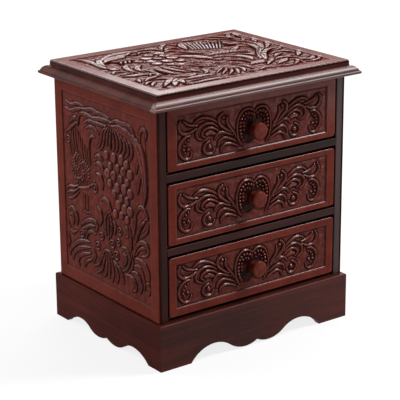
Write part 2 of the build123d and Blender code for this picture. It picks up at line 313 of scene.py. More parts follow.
    def stipple(self, u, v, radii, count, radius):
        """Small seeds struck close together over an oval."""
        for k in range(count):
            out, turn = math.sqrt((k + 0.5) / count), 2.4 * k
            seed = (u + radii[0] * out * math.cos(turn), v + radii[1] * out * math.sin(turn),
                    radius * (0.8 + 0.4 * math.sin(5.3 * k)))
            self.stroke([seed], lift=1.5, vein=0, cut=0.45)

    def berry(self, u, v, radius, lift=1.9):
        self.stroke([(u, v, radius)], lift, vein=0.0)

    def berries(self, points, spacing):
        """A row of small beads along a path; each point's half width is the bead's radius there."""
        path = self.path(points)
        run = np.concatenate([[0], np.cumsum(np.hypot(*np.diff(path[:, :2], axis=0).T))])
        for place in np.arange(0, run[-1] + 0.01, spacing):
            self.berry(*[np.interp(place, run, path[:, k]) for k in range(3)], 2.0)

    def score(self, points, depth, stain=0.6):
        """A cut line; each point's half width is the cut's."""
        patch, _, away, wide = self.near(self.path(points), 2.0)
        cut = np.exp(-(away / wide) ** 2)
        self.surface[patch] -= depth * cut
        self.rubbed[patch] = np.maximum(self.rubbed[patch], stain * cut)

    def work_up(self):
        """The last touches: the hand's unevenness over the tooled field, in height and in stain."""
        hand = self.relief * self.floor * (1 - 0.7 * self.flat)
        self.surface += hand * (0.13 * self.uneven(3.4, 1.0) + 0.4 * self.uneven(9.0, 3.0) - 0.25)
        self.rubbed *= 0.45 + 0.9 * self.uneven(11.0, 2.0)

    def stain(self):
        """How dark each point is left: 0 where the wiping cleaned it, 1 where the antique stain stays;
        painted shade and painted highlight are mixed into it as well.
        """
        soft = self.surface.copy()
        for _ in range(round(1.5 / self.step) ** 2):
            beside = [np.roll(soft, way, axis) for axis in (0, 1) for way in (1, -1)]
            soft = sum(beside, soft) / 5
        # Crests above their surroundings come out lighter: partly antique stain wiped off the high work,
        # partly a painted highlight.
        crest_wiped_and_highlit = np.clip((self.surface - soft) / 0.7, -1, 1)
        raised = np.clip((self.surface - self.ground) / 0.7, 0, 1)
        bare = 0.22 + 0.02 * self.flat
        # Slopes that fall away towards the sheet's right as seen are darkened: painted shade on the lee side
        # of the relief, mostly on the sides and drawers.
        lee_painted_shade = np.clip(-np.gradient(self.surface, self.step, axis=0), 0, 1) * self.field
        held = 0.12 * self.field * (1 - 0.9 * raised) + 0.75 * self.rubbed
        left = bare + self.antique * held - 0.3 * crest_wiped_and_highlit + 0.3 * (1 - self.flat) * lee_painted_shade
        # Turned edges are darkened: edge dye, and on the drawers also painted shade of the gap round the
        # front.
        return np.clip(left + 0.3 * self.turned ** 2 + 0.6 * self.trimmed, 0, 1)

    def matte(self):
        """Where the ground was left dull: the whole field but for the raised work."""
        return self.field * (1 - np.clip((self.surface - self.ground) / 0.6, 0, 1))

    def polish(self):
        """How far the wax is rubbed up: most on raised work and edges that face the way the cloth comes."""
        rub_across, rub_up, rub_edges = self.rub
        slope = np.gradient(self.surface, self.step)
        facing = self.wax - slope[0] * rub_across - slope[1] * rub_up
        raised = np.clip(0.35 + (self.surface - self.ground) / 0.5, 0, 1) * self.field
        rim = np.maximum(self.bevel, 0.55 * np.minimum(3 * self.turned, 1))
        edges = np.maximum(rim * rub_edges, 0.9 * self.flat * (1 - self.field))
        clean = 1 - 0.7 * np.clip(self.rubbed, 0, 1)
        return np.clip(facing, 0, 1) * np.maximum(raised, edges) * clean


def close_back(bm, level):
    """Turns the open edges of a sheet straight down to its back and fills the back."""
    rim = [edge for edge in bm.edges if edge.is_boundary]
    walls = bmesh.ops.extrude_edge_only(bm, edges=rim)["geom"]
    for vert in (piece for piece in walls if isinstance(piece, bmesh.types.BMVert)):
        vert.co.z = level
    bmesh.ops.edgeloop_fill(bm, edges=[edge for edge in bm.edges if edge.is_boundary])
    bmesh.ops.recalc_face_normals(bm, faces=bm.faces)


def mesh_piece(name, bm):
    mesh = bpy.data.meshes.new(name)
    bm.to_mesh(mesh)
    bm.free()
    mesh.shade_smooth()
    piece = bpy.data.objects.new(name, mesh)
    bpy.context.collection.objects.link(piece)
    return piece


def leather_sheet(name, tooling, right, up, back_centre):
    """The tooled surface as a closed sheet, with its finish on every point of its fine grid."""
    outward = Vector(right).cross(Vector(up))
    place = Matrix((right, up, outward)).transposed().to_4x4()
    place.translation = back_centre
    columns, rows = len(tooling.across) - 1, len(tooling.up) - 1
    bm = bmesh.new()
    bmesh.ops.create_grid(bm, x_segments=columns, y_segments=rows, size=0.5)
    # The stain values hold the antique stain together with painted shade on lee slopes, a painted highlight
    # on crests and the knob's painted shadow.
    finish = {"stain": tooling.stain(), "polish": tooling.polish(), "matte": tooling.matte()}
    layers = [(bm.verts.layers.float.new(kind), values) for kind, values in finish.items()]
    for vert in bm.verts:
        i = round((vert.co.x + 0.5) * columns)
        j = round((vert.co.y + 0.5) * rows)
        vert.co = [size / PER_METRE for size in (tooling.across[i], tooling.up[j], tooling.surface[i, j])]
        for layer, values in layers:
            vert[layer] = values[i, j]
    close_back(bm, 0.0)
    bmesh.ops.transform(bm, matrix=place, verts=bm.verts)
    return mesh_piece(name, bm)


def tooled_leather(name, gloss, wax_rough):
    """Waxed red-brown leather: pores, uneven dye, and the antique stain that the tooling holds, with the
    painted shade and painted highlight mixed into that stain.
    """
    material, start = new_finish(name)
    place = start.node("TexCoord", {}, {}, "Object")
    stain, polish, matte = (start.node("Attribute", {"attribute_name": kind}, {}, "Fac")
                            for kind in ("stain", "polish", "matte"))
    cloud = start.node("TexNoise", {}, {"Vector": place, "Scale": 38.0, "Detail": 5.0, "Roughness": 0.65})
    wiped = start.node("TexNoise", {}, {"Vector": place, "Scale": 130.0, "Detail": 4.0, "Roughness": 0.7})
    speck = start.node("TexNoise", {}, {"Vector": place, "Scale": 700.0, "Detail": 3.0})
    pores = start.node("TexVoronoi", {"feature": "DISTANCE_TO_EDGE"}, {"Vector": place, "Scale": 950.0})
    # The stain attribute darkens the colour: antique stain mixed with painted shade, painted highlight and
    # painted shadow.
    tone = stain + (cloud - 0.5) * 0.4 + (wiped - 0.5) * 0.26 + (speck - 0.5) * 0.18
    colour = start.node("ValToRGB", {"stops": [
        (0.00, (0.185, 0.036, 0.022)), (0.26, (0.112, 0.0175, 0.0110)), (0.52, (0.056, 0.0088, 0.0060)),
        (0.76, (0.017, 0.0032, 0.0024)), (1.00, (0.004, 0.0011, 0.0009))]}, {"Fac": tone})
    grain = start.node("Bump", {}, {
        "Strength": 0.2, "Distance": 0.0002, "Height": pores * 0.35 + speck * 0.5})
    close_finish(start, {
        "Base Color": colour,
        "Roughness": 0.1 + matte * 0.26 + cloud * 0.08,
        "Specular IOR Level": gloss,
        "Coat Weight": polish * (cloud + 0.4),
        "Coat Roughness": wax_rough,
        "Normal": grain})
    return material


side_leather = tooled_leather("tooled_side_leather", gloss=0.02, wax_rough=0.2)
top_leather = tooled_leather("tooled_top_leather", gloss=0.0, wax_rough=0.11)


def sheet_for(node_name, tooling, right, up, leather):
    """Places a tooled sheet where its CAD node lies, with its back on the board behind."""
    low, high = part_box(node_name)
    outward = Vector(right).cross(Vector(up))
    centre = (Vector(low) + Vector(high)) / 2
    for axis in range(3):
        if outward[axis]:
            centre[axis] = low[axis] if outward[axis] > 0 else high[axis]
    piece = leather_sheet(node_name + "_tooled", tooling, right, up, centre)
    piece.data.materials.append(leather)
    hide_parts(node_name)
    return piece


def sheet_size(node_name, right, up):
    low, high = (Vector(corner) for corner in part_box(node_name))
    span = (high - low) * PER_METRE
    return [abs(span.dot(Vector(way))) for way in (right, up)]


def grapes(work, spots, radius):
    """A bunch of round grapes, each struck a little off its place and its size."""
    for k, (u, v) in enumerate(spots):
        off = (0.9 * math.sin(4.1 * k), 0.9 * math.cos(2.7 * k))
        work.berry(u + off[0], v + off[1], radius * (1 + 0.13 * math.sin(7.3 * k)), 1.7)


def flower(work, u, v, radius):
    """A ringed rosette with a seed in the middle."""
    ring = [(u + radius * math.cos(turn), v + radius * math.sin(turn), 1.1)
            for turn in np.linspace(0, 2 * math.pi, 13)]
    work.stroke(ring, lift=1.5, vein=0)
    work.berry(u, v, radius * 0.5, 1.7)


def feather(work, points, barbs):
    """A long feather with a rib, cut with slanting barbs on both sides of it."""
    work.stroke(points, vein=1.1)
    run = work.path(points)
    for k in np.linspace(0.2, 0.9, barbs) * (len(run) - 1):
        u, v, wide = run[int(k)]
        along = run[min(int(k) + 1, len(run) - 1)] - run[int(k)]
        along = along[:2] / max(np.hypot(*along[:2]), 1e-6)
        for side in (-1, 1):
            slant = (0.7 * along[0] - side * 0.9 * along[1], 0.7 * along[1] + side * 0.9 * along[0])
            work.score([(u, v, 0.4), (u + wide * slant[0], v + wide * slant[1], 0.35)], depth=0.3)


def scales(work, u, v, columns, rows, pitch, turn):
    """Overlapping curved cuts in rows, as on a bird's breast."""
    c, s = math.cos(math.radians(turn)), math.sin(math.radians(turn))
    for row in range(rows):
        for column in range(columns):
            x = (column - (columns - 1) / 2 + 0.5 * (row % 2)) * pitch
            y = (row - (rows - 1) / 2) * pitch * 0.8
            arc = [(-0.5, 0.3), (0, -0.4), (0.5, 0.3)]
            spots = [(x + pitch * a, y + pitch * b) for a, b in arc]
            bent = [(u + p * c - q * s, v + p * s + q * c, 0.45) for p, q in spots]
            work.score(bent, depth=0.5, stain=0.7)


SIDE_VINE = (
    [(-70, 84, 1.0), (-60, 81.5, 1.9), (-50, 84, 2.1), (-42, 84.5, 1.7), (-34, 83, 1.0)],
    [(-70, 76, 1.2), (-60, 75, 2.1), (-50, 78, 2.3), (-42, 80.5, 1.7), (-35, 82, 1.0)],
    [(-64, 61, 1.1), (-58, 66.5, 2.3), (-52, 69, 2.3), (-47, 65, 1.2)],
    [(-72, 50, 1.1), (-66, 54, 2.0), (-59, 58.5, 2.3), (-52, 63, 1.7), (-46, 66, 1.0)],
    [(-48, 62, 1.1), (-46, 71, 2.0), (-40, 76, 2.3), (-30, 76.2, 2.5),
     (-20, 75, 2.5), (-8, 77, 2.6), (4, 77.5, 2.3), (12, 78, 1.4)],
    [(-40, 81, 1.1), (-31, 81.5, 2.4), (-22, 83.5, 2.6), (-12, 82, 2.6), (-2, 82.5, 2.2), (8, 81, 1.2)],
    [(-36, 68, 1.1), (-27, 71, 2.1), (-16, 71, 2.4), (-6, 71.5, 2.2), (3, 72, 1.2)],
    [(-34, 62, 1.0), (-26, 65.5, 2.0), (-18, 65, 2.0), (-11, 61, 1.1)],
    [(10, 77, 1.2), (20, 80.5, 2.4), (30, 80.5, 2.7), (40, 81, 2.5), (47, 78, 2.1), (52, 72, 1.1)],
    [(12, 74, 1.1), (22, 75.8, 2.1), (32, 75, 2.5), (42, 73, 2.3), (49, 68, 1.1)],
)
SIDE_GRAPE_LEAF = (
    [(4, 71, 1.1), (-3, 66, 2.0), (-6, 58, 2.3), (-10, 50, 2.0), (-14, 47, 1.0)],
    [(6, 71, 1.1), (1, 65, 2.0), (-1, 58, 2.3), (-3, 52, 2.2), (-8, 46, 1.4)],
    [(8, 70, 1.1), (5, 64, 2.0), (4, 58, 2.2), (4, 53, 1.4)],
    [(11, 70, 1.1), (10, 64, 2.0), (9.5, 58, 2.2), (10, 51, 1.4)],
    [(14, 69, 1.1), (15.6, 62, 2.1), (16, 56, 2.3), (15, 50, 1.4)],
    [(18, 69, 1.1), (21.4, 63, 2.1), (22, 56, 2.4), (20, 50, 1.2)],
    [(23, 69, 1.1), (27.4, 64, 2.1), (28, 57, 2.4), (26, 51, 1.2)],
    [(28, 68, 1.1), (33.4, 62.5, 2.1), (34, 55, 2.4), (30.5, 49, 1.2)],
    [(34, 67, 1.1), (39.6, 61, 2.2), (40, 54, 2.4), (36, 48, 1.2)],
    [(40, 66, 1.1), (46, 60, 2.3), (46, 52, 2.3), (42, 46, 1.1)],
)
SIDE_FRONT_LEAF = (
    [(44, 73, 1.4), (52, 68, 4.6), (60, 60, 7.0), (64, 48, 6.6),
     (66.5, 34, 4.8), (67.5, 20, 3.6), (65, 7, 1.4)],
    [(60, 69, 1.6), (60.5, 77, 2.4), (65, 82.5, 2.4), (70.5, 79.5, 2.2), (69.5, 73, 1.2)],
    [(58, 50, 1.5), (55, 44, 2.3), (53, 36, 1.1)],
    [(60, 34, 1.3), (57, 26, 2.3), (55, 16, 1.1)],
    [(51, -6, 1.2), (55, 1, 2.6), (61, 4.5, 2.8), (67, 2, 2.6), (70.5, -4, 2.0), (66, -7, 1.2)],
    [(66, -9, 1.2), (62, -12, 2.3), (57, -18, 2.7), (53.5, -26, 2.5), (50, -34, 1.4)],
    [(50, -2, 1.2), (50, -12, 2.3), (48, -22, 2.1), (46, -30, 1.2)],
    [(72, -10, 1.1), (70, -17, 2.0), (65, -22, 2.2), (59, -26, 1.2)],
)
SIDE_SCROLLS = (
    [(46, -50, 1.2), (50, -41, 2.4), (55, -34, 2.6), (62, -30.5, 2.7),
     (69, -32, 2.4), (71.5, -38, 2.2), (67, -43, 1.8), (61, -45, 1.2)],
    [(50, -47, 1.1), (56, -39.5, 1.9), (63, -36, 1.7), (66, -38, 1.0)],
    [(40, -22, 1.3), (42, -31, 2.3), (42, -40, 2.1), (40, -46, 1.1)],
    [(33, -22, 1.3), (37, -25, 2.1), (37, -31, 1.9), (33, -33, 1.2)],
    [(27, -45, 1.3), (34, -45.5, 2.3), (38.5, -50.5, 2.4),
     (38.5, -58, 2.4), (33, -66, 2.1), (26, -70, 1.1)],
    [(28, -51, 1.1), (32.6, -53.5, 1.9), (32.6, -59, 1.9), (28.5, -63.5, 1.1)],
    [(42, -49, 1.2), (44.3, -55, 1.9), (43, -62, 1.9), (38, -68, 1.1)],
    [(32, -72, 1.2), (41, -72, 2.3), (47.5, -76, 2.6), (49, -82.5, 2.2), (44, -86, 1.2)],
    [(43, -66, 1.2), (50, -65.5, 2.4), (55.5, -70, 2.8), (58.5, -77, 2.6), (57, -84, 1.2)],
    [(48, -58, 1.2), (55, -57.5, 2.3), (60, -62, 2.3), (63.5, -70, 1.9), (64, -78, 1.1)],
    [(50, -50, 1.1), (58, -50, 2.2), (66, -53, 2.4), (71.5, -60, 1.9), (72, -67, 1.1)],
    [(66, -72, 1.1), (70, -70.5, 2.0), (73, -75, 2.0), (71, -81, 1.6), (67, -79, 1.0)],
    [(-70, -30, 1.3), (-63, -27.6, 2.5), (-57, -31, 3.0), (-54, -37, 3.0), (-55.5, -43.5, 1.6)],
    [(-69, -36.5, 1.1), (-63.5, -34.5, 1.9), (-61, -39, 1.9), (-62, -45, 1.2)],
    [(-71, -44, 1.1), (-68, -51, 2.1), (-62, -54, 2.1), (-56, -51, 1.2)],
    [(-48, -42, 1.2), (-40, -36.5, 2.3), (-31, -32.5, 2.7),
     (-22, -31.5, 2.4), (-17, -36, 2.1), (-19, -41, 1.1)],
    [(-46, -46, 1.1), (-38, -42, 2.1), (-29, -38, 2.1), (-22, -37, 1.2)],
    [(-38, -54, 1.2), (-35, -47.5, 2.1), (-28, -44, 2.2), (-21, -45, 1.2)],
    [(-32, -56, 1.2), (-42, -58, 2.3), (-52, -61, 2.7), (-61, -67, 2.7), (-68, -74, 2.1), (-70, -80, 1.1)],
    [(-31, -62, 1.2), (-43, -65, 2.3), (-53, -69, 2.7), (-61, -76, 2.3), (-64, -83, 1.1)],
    [(-31, -68, 1.2), (-43, -72, 2.3), (-51, -76.5, 2.5), (-55, -83, 1.9), (-52, -87, 1.0)],
    [(-29, -74, 1.1), (-38, -79, 2.2), (-43, -85, 1.4)],
    [(-28, -61, 1.1), (-22, -68, 2.0), (-26, -76, 1.1)],
    [(-72, -58, 1.1), (-70, -65, 1.9), (-73, -72, 1.1)],
)
SIDE_BUD = (
    [(-1, -40, 1.4), (-3, -32, 2.4), (-2, -22, 2.0), (3, -15, 0.9)],
    [(6, -40, 1.4), (9, -32, 2.4), (8, -22, 2.0), (4, -15, 0.9)],
    [(3, -43, 1.3), (3, -32, 2.0), (3.2, -20, 1.0)],
    [(-6, -60, 1.2), (-11, -68, 2.3), (-16, -75, 2.3), (-24, -79, 1.1)],
    [(-3, -61, 1.2), (-7, -70, 2.3), (-11, -79, 2.3), (-19, -85, 1.1)],
    [(0, -61, 1.2), (-2, -72, 2.3), (-4, -82, 2.1), (-9, -87, 1.0)],
    [(3, -61, 1.2), (3.4, -72, 2.2), (3, -84, 1.3)],
    [(6, -61, 1.2), (9, -71, 2.3), (10, -80, 2.1), (8, -87, 1.0)],
    [(9, -61, 1.2), (14, -69, 2.4), (18, -77, 2.5), (17, -85, 1.4)],
    [(12, -64, 1.2), (20, -69, 2.3), (26, -75, 2.3), (28, -83, 1.2)],
    [(-9, -62, 1.1), (-3, -57, 2.0), (4, -57, 2.0), (10, -61, 1.1)],
)
SIDE_TENDRILS = (
    [(-19, 29, 1.1), (-12, 31, 2.5), (-5, 28, 2.1), (-1, 21, 1.1)],
    [(-18, 37, 1.1), (-11, 39, 2.3), (-5, 36, 1.2)],
    [(-16, 20, 1.1), (-9, 19, 2.3), (-5, 12, 1.8), (-6, 6, 1.0)],
    [(-10, -6, 1.1), (-3, -3, 2.2), (5, -6, 2.2), (9, -13, 1.2)],
    [(-16, -14, 1.1), (-10, -19, 2.2), (-9, -27, 2.0), (-13, -33, 1.1)],
    [(12, -22, 1.1), (16, -27, 2.0), (14, -35, 1.2)],
)
SIDE_GRAPES = (
    (2, 42), (15.5, 43.5), (27, 43), (37, 41), (9, 33.5), (20.5, 33.5), (31.5, 33.5), (43, 31.5), (2.5, 25),
    (14.5, 24), (26, 24), (37, 23.5), (8, 15), (20, 14.5), (31.5, 14.5), (43, 14), (14, 5.5), (26, 5),
    (37.5, 4.5), (20.5, -4), (32, -4.5), (42.5, -6), (15, -13), (26.5, -13.5), (37, -14.5))
SIDE_FLOWERS = (
    (-66, 44, 3.4), (-10, -44, 3.6), (9, -47, 3.8), (-17, -56, 4.0), (16, -57, 4.0), (-46, -51, 3.6),
    (23, -30, 3.4), (20, -42, 3.2))
SIDE_CUTS = (
    [(69.5, 74, 0.9), (70, 60, 1.1), (72.5, 42, 1.2), (72.5, 22, 1.1), (67, 6, 0.8)],
    [(-13, 47, 0.7), (-9, 52, 1.0), (-7.5, 64, 0.7)],
    [(11, 53, 1.0), (12.5, 60, 1.1), (15, 66, 0.7)],
    [(-50, 63, 0.8), (-60, 54, 0.9)],
    [(20, 83.5, 0.8), (30, 82.5, 0.9), (42, 82, 0.8)],
    [(-9, 84.5, 0.8), (0, 83, 0.9)],
    [(64, -14, 0.7), (58, -21, 1.0), (52, -33, 0.9)],
    [(41, -25, 0.7), (44, -33, 1.1), (44, -43, 0.9)],
    [(35, -48, 0.7), (37.5, -55, 1.1), (35, -63, 1.0), (27, -69, 0.7)],
    [(44, -49, 0.8), (44.5, -57, 1.1), (41, -64, 0.9)],
    [(44, -73, 0.7), (48, -77, 1.2), (48, -84, 0.9)],
    [(53, -75, 0.8), (53.5, -82, 1.0), (49, -87, 0.7)],
    [(57, -58, 0.7), (60, -61, 1.1)],
    [(10, -22, 0.7), (11, -29, 1.0), (9, -35, 0.7)],
    [(16, -41, 0.8), (16.5, -49, 0.9)],
    [(-33, -43, 0.8), (-39, -51, 1.1)],
    [(-9, -65, 0.7), (-11, -71, 1.1), (-15, -77, 0.7)],
    [(-4, -76, 0.7), (-8, -81, 1.1), (-13, -85, 0.7)],
    [(10, 40, 0.9), (10, 45, 0.9)],
    [(22, 40, 1.0), (24, 44, 0.7)],
    [(33, 33, 1.1), (33, 38, 0.9)],
    [(14, 26, 1.0), (11, 23, 0.8)],
    [(25.5, 21, 0.9), (25, 27, 1.0)],
    [(26, 6, 0.9), (28, 12, 1.0)],
    [(40, 6, 0.9), (40, 11, 0.8)],
    [(14, 1, 0.9), (14, 5, 0.9)],
)
BIRD_BREAST = [(-50, -3, 1.0), (-40, -1, 1.6), (-31, 2, 1.8), (-24, 7, 1.4), (-19, 11, 0.8)]
BIRD_NECK = [(-27, 26, 1.0), (-28, 34, 1.5), (-28.5, 43, 1.7), (-27, 51, 1.8), (-23, 56, 1.9), (-18, 56, 0.8)]
BIRD_TAIL = (
    [(-73, -9, 0.8), (-66, -5, 1.5), (-58, -4, 1.5), (-50, -1, 1.0)],
    [(-73, -14, 0.8), (-66, -11, 1.7), (-58, -9, 1.7), (-50, -4, 1.0)],
    [(-70, -19, 0.8), (-63, -17, 1.7), (-56, -13, 1.6), (-49, -7, 1.0)],
)


def bird(work):
    """A standing bird with a thin neck, a wing of close upright feathers and a forked tail."""
    for k in range(9):
        u, lean = -64 + 3.9 * k, 1.2 * math.sin(1.9 * k)
        low, high = 28 + 4 * math.sin(0.8 * k), 51 + 9 * math.sin(0.55 * k)
        plume = [(u + 3, low, 0.9), (u + lean, (low + high) / 2, 1.6), (u - 1, high, 0.8)]
        work.stroke(plume, lift=1.6, vein=0, cut=0.6)
    work.stipple(-45, 18, radii=(17, 15), count=84, radius=1.7)
    for points in BIRD_TAIL:
        work.stroke(points)
    work.stroke(BIRD_BREAST, cut=0.6)
    work.stroke(BIRD_NECK, lift=2.0, vein=0, cut=0.6)
    flower(work, -20, 3.5, 4.2)
    for foot in (-39, -33):
        work.stroke([(foot, -8, 1.0), (foot - 0.5, -17, 0.9), (foot, -25, 0.9)], lift=1.4, vein=0)
        work.stroke([(foot - 4, -27, 0.7), (foot, -25, 0.9), (foot + 5, -26.5, 0.7)], lift=1.4, vein=0)
    scales(work, -40, 4, columns=7, rows=2, pitch=4.0, turn=8)


def side_picture(work):
    """Grapes and a bird under a vine, with acanthus scrolls along the foot and the front edge."""
    bird(work)
    for points in SIDE_GRAPE_LEAF + SIDE_FRONT_LEAF + SIDE_SCROLLS + SIDE_BUD + SIDE_VINE:
        feather(work, [(u, v, 0.88 * half) for u, v, half in points], barbs=5)
    for points in SIDE_TENDRILS:
        work.stroke(points)
    grapes(work, SIDE_GRAPES, radius=5.0)
    for u, v, radius in SIDE_FLOWERS:
        flower(work, u, v, radius)
    for points in SIDE_CUTS:
        work.score(points, depth=0.3, stain=0.9)


TOP_LEAVES = (
    [(-84, 47, 1.6), (-76, 58, 5.0), (-64, 63.5, 7.5), (-51, 66, 7.0), (-40, 67, 3.0)],
    [(-97, 78, 1.2), (-92, 67, 3.0), (-91, 55, 3.4), (-93, 42, 3.2), (-94, 30, 2.6), (-93, 23, 1.2)],
    [(-89, 34, 1.2), (-87, 45, 3.2), (-82, 56, 4.2), (-74, 65, 4.8),
     (-63, 70.5, 5.0), (-51, 72.5, 5.0), (-39, 72, 4.0), (-31, 69, 1.2)],
    [(-81, 48, 1.4), (-73, 54, 3.6), (-63, 56.5, 4.0), (-55, 57, 3.2), (-49, 61, 1.2)],
    [(-70, 35, 1.0), (-67, 40, 1.8), (-64, 45, 0.9)],
    [(-66, 33, 1.0), (-62.5, 38.5, 1.8), (-59, 44, 0.9)],
    [(-61, 33, 1.0), (-57.5, 39, 1.8), (-54, 45, 0.9)],
    [(-80, -6, 1.2), (-80, 4, 2.4), (-78, 13, 3.4), (-74, 21, 3.4), (-69, 26, 1.2)],
    [(-72, -8, 1.2), (-72, 1, 2.8), (-69, 9, 3.4), (-64, 14, 2.6), (-58, 18, 1.0)],
    [(-101, 3, 1.0), (-97, 8, 2.2), (-92, 8, 2.2), (-88, 3, 1.0)],
    [(-99, -12, 1.2), (-91, -15, 3.8), (-82, -16, 3.4), (-75, -20, 1.2)],
    [(-99, -40, 1.0), (-96, -33, 2.4), (-92, -27, 1.0)],
    [(-98, -6, 1.0), (-91, -4, 2.2), (-84, -6, 1.0)],
    [(-93, -40, 1.0), (-86, -34, 2.4), (-78, -32, 2.2), (-71, -28, 1.0)],
    [(-76, -24, 1.0), (-72, -18, 2.2), (-69, -24, 2.0), (-70, -30, 1.0)],
    [(-68, -3, 1.0), (-66, -12, 2.0), (-66, -22, 1.8), (-67, -30, 1.0)],
    [(-39, -8, 1.0), (-37, -16, 2.2), (-36, -24, 1.0)],
    [(-100, -51, 1.0), (-95, -46, 2.0), (-88, -45, 1.0)],
    [(-59, -43, 1.0), (-50, -48, 2.4), (-41, -47, 2.4), (-36, -42, 1.0)],
    [(-31, -50, 1.0), (-26, -47, 2.2), (-22, -40, 2.2), (-21, -33, 1.0)],
    [(-2, 55, 1.0), (4, 61, 2.2), (11, 60, 2.0), (15, 54, 1.0)],
    [(104, 46, 1.0), (101, 38, 2.2), (98, 31, 1.0)],
    [(76, -22, 1.0), (85, -19, 2.4), (94, -23, 2.2), (97, -31, 1.0)],
    [(62, -45, 1.0), (70, -41, 2.6), (79, -44, 2.6), (84, -51, 1.2)],
    [(52, -61, 1.2), (60, -57, 3.4), (68, -53, 3.0), (74, -48, 1.2)],
    [(103.5, -62, 1.0), (98, -69, 2.2), (89, -71.5, 2.2), (81, -70, 1.0)],
    [(36, -8, 1.6), (43, -13, 4.0), (46, -22, 4.2), (43, -32, 1.6)],
    [(18, 0, 1.0), (27, 0, 2.2), (36, -3, 1.0)],
    [(50, -7, 1.2), (56, -11, 2.8), (57, -18, 1.2)],
    [(-20, -14, 1.0), (-16, -20, 2.2), (-12, -25, 1.0)],
    [(-32, -8, 1.0), (-24, -12, 2.4), (-19, -8, 1.0)],
    [(85, 45, 1.0), (89, 40, 2.2), (91, 34, 1.0)],
    [(-57, -5, 1.4), (-55.5, -15, 3.2), (-54.5, -26, 3.2), (-54, -34, 1.4)],
    [(-47, -3, 1.4), (-46, -12, 3.0), (-44, -22, 3.2), (-41, -30, 2.4), (-37, -36, 1.0)],
    [(-34, -26, 1.2), (-32, -33, 2.8), (-29, -40, 1.2)],
    [(-98, -58, 1.0), (-93, -52, 2.0), (-87, -48, 1.0)],
    [(-89, -66, 1.2), (-81, -58, 3.0), (-73, -51, 3.0), (-65, -46, 1.2)],
    [(-81, -71, 1.2), (-75, -63, 3.2), (-69, -55, 3.2), (-63, -50, 1.2)],
    [(-68, -67, 1.6), (-65.5, -60, 3.6), (-63, -54, 1.6)],
    [(-58, -57, 1.2), (-48, -56, 3.2), (-36, -56, 3.2), (-24, -58, 1.2)],
    [(-60, -74, 1.2), (-48, -72.5, 2.6), (-34, -72.5, 2.6), (-22, -75, 1.2)],
    [(0, -39, 0.9), (-9, -46, 1.8), (-19, -54, 0.9)],
    [(2, -43, 0.9), (-7, -52, 2.0), (-17, -61, 0.9)],
    [(5, -46, 0.9), (-3, -57, 2.2), (-12, -66, 0.9)],
    [(8, -48, 0.9), (3, -59, 2.2), (-3, -68, 0.9)],
    [(12, -47, 1.0), (12, -56, 2.4), (7, -65, 1.0)],
    [(17, -43, 1.0), (21, -51, 2.6), (20, -60, 1.2)],
    [(-33, 59, 1.0), (-28, 63, 2.0), (-24, 58, 1.0)],
    [(-22, 71, 1.2), (-13, 70, 3.0), (-6, 64, 2.6), (-5, 57, 1.2)],
    [(-2, 61, 1.2), (3, 70, 2.8), (10, 76, 2.2), (15, 78, 1.0)],
    [(-6, 50, 1.0), (0, 52, 2.4), (5, 47, 1.0)],
    [(18, 45, 1.2), (22, 56, 3.8), (26, 66, 4.0), (31, 76, 1.2)],
    [(-7, 24, 2.0), (0, 20, 5.0), (7, 12, 6.0), (12, 3, 4.2), (13, -5, 1.6)],
    [(5, 40, 1.0), (12, 34, 2.4), (18, 26, 2.4), (22, 18, 1.0)],
    [(40, 79, 1.0), (50, 77.5, 1.6), (60, 77.5, 1.6), (67, 75, 1.0)],
    [(74, 79, 1.0), (81, 74, 2.6), (87, 66, 2.8), (89, 57, 1.2)],
    [(88, 60, 1.2), (91, 69, 3.2), (96, 77, 2.4), (100, 79, 1.0)],
    [(100, 63, 1.0), (102, 71, 2.4), (103.5, 79, 1.0)],
    [(72, 53, 1.2), (68, 47, 2.2), (69, 40, 2.4), (75, 36, 2.4), (82, 36, 1.0)],
    [(91, 44, 1.0), (95, 49, 2.6), (99, 54, 1.0)],
    [(84, 29, 1.2), (83, 18, 2.8), (81, 8, 3.0), (75, -2, 3.0),
     (67, -12, 3.0), (60, -22, 2.8), (53, -33, 1.2)],
    [(93, 29, 1.2), (92, 18, 2.8), (88, 9, 3.0), (81, 1, 2.8), (75, -5, 2.0), (69, -12, 1.0)],
    [(104, 24, 1.0), (100, 15, 2.8), (94, 8, 2.4), (88, 2, 1.0)],
    [(92, -4, 1.2), (83, -5.5, 2.6), (75, -11, 3.0), (68, -19, 3.0), (61, -29, 3.0), (54, -39, 1.2)],
    [(103, -2, 1.2), (97, -8, 2.6), (90, -12, 1.2)],
    [(70, -34, 1.0), (77, -29, 2.8), (85, -26, 1.2)],
    [(91, -45, 1.0), (98, -38, 3.0), (103, -29, 1.2)],
    [(83, -61, 1.2), (91, -64, 3.0), (98, -60, 2.6), (102, -53, 1.0)],
    [(28, -48, 1.2), (36, -44, 3.8), (44, -45, 3.8), (50, -40, 1.2)],
    [(42, -57, 1.0), (50, -50, 2.4), (58, -44, 2.6), (65, -37, 1.0)],
    [(22, -70, 1.0), (31, -66, 2.4), (41, -69, 1.0)],
    [(46, -69, 1.0), (55, -72, 2.2), (66, -72, 1.0)],
    [(63, -73, 1.0), (70, -68, 2.2), (77, -61, 2.2), (76, -55, 1.0)],
    [(12, -8, 1.0), (17, -10, 2.6), (23, -8, 1.0)],
)
